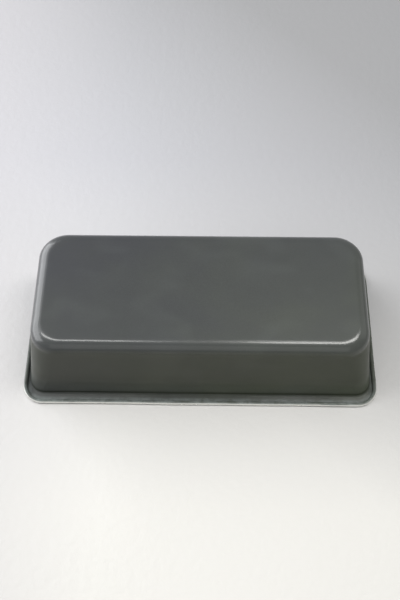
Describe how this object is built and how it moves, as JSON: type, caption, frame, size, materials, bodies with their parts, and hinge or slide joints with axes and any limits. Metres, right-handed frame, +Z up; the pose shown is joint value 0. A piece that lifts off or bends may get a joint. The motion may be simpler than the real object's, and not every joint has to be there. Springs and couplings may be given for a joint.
{
  "type": "loaf pan",
  "caption": "Rectangular deep-drawn loaf pan in dark non-stick coated steel, with rounded corners, tapered walls, a flat base and a narrow rim rolled over a wire; shown turned over",
  "frame": {"origin": "Centre of the mouth, in the plane of the rim: the point of the surface that the turned-over pan rests on. The rim is on z = 0 and the flat base is at z = 66.6 mm.", "axes": "+Z up with the pan turned over, from the mouth to the base; +X along the length; +Y across the width, to the back. Turn the part 180 degrees about X to bake in it."},
  "size_m": [0.265, 0.124, 0.0666],
  "materials": {
    "nonstick_steel": "satin dark grey non-stick coating on drawn steel sheet",
    "wire_steel": "drawn steel wire, uncoated"
  },
  "bodies": {
    "root": {"pan_shell": "nonstick_steel", "rim_wire": "wire_steel"}
  },
  "joints": []
}
